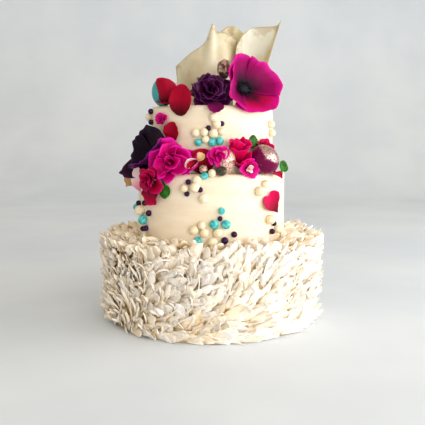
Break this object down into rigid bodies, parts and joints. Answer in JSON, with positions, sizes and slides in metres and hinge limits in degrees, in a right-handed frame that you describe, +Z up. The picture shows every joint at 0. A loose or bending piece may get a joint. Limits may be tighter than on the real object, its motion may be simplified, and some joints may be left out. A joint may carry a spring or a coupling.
{
  "type": "tiered wedding cake",
  "caption": "Tiered wedding cake with smooth iced upper tiers, a flake-coated base tier, sugar pearls, flowers, painted eggs and white chocolate sails.",
  "frame": {"origin": "middle of the flat base of the bottom tier, where the cake rests", "axes": "+Z up through the tiers, -Y towards the front of the cake as pictured, +X to its right"},
  "size_m": [0.2918, 0.287, 0.3735],
  "materials": {
    "icing": "satin",
    "flakes": "matte",
    "white_chocolate": "satin",
    "magenta_petal": "matte",
    "plum_petal": "matte",
    "crimson_petal": "matte",
    "blush_petal": "matte",
    "cream_petal": "matte",
    "leaf": "satin",
    "lustre": "lustre dust",
    "teal_shell": "satin",
    "wine_shell": "glossy"
  },
  "bodies": {
    "root": {"top_tier": "icing", "middle_tier": "icing", "bottom_tier": "flakes", "sail_left": "white_chocolate", "sail_right": "white_chocolate", "sail_back": "white_chocolate", "anemone_magenta": "magenta_petal", "carnation_magenta": "magenta_petal", "blossom_magenta": "magenta_petal", "blossom_pink": "magenta_petal", "bud_magenta": "magenta_petal", "carnation_back": "magenta_petal", "carnation_purple": "plum_petal", "anemone_dark": "plum_petal", "carnation_side": "plum_petal", "petal_plum": "plum_petal", "blossom_crimson": "crimson_petal", "carnation_red": "crimson_petal", "blossom_red": "crimson_petal", "blossom_back": "crimson_petal", "petal_front": "crimson_petal", "petal_dome": "crimson_petal", "petal_edge": "crimson_petal", "petal_wine": "crimson_petal", "petal_low": "crimson_petal", "petal_arc": "crimson_petal", "petal_point": "crimson_petal", "petal_heart": "crimson_petal", "petal_back_left": "crimson_petal", "petal_back_top": "crimson_petal", "petal_tip": "blush_petal", "petal_blush": "blush_petal", "blossom_cream": "cream_petal", "petal_cream": "cream_petal", "leaf_low": "leaf", "leaf_ledge": "leaf", "leaf_right": "leaf", "egg_speckled": "lustre", "truffle_small": "lustre", "truffle_gold": "lustre", "truffle_bronze": "lustre", "egg_teal": "teal_shell", "egg_back": "teal_shell", "egg_purple": "wine_shell"}
  },
  "joints": []
}
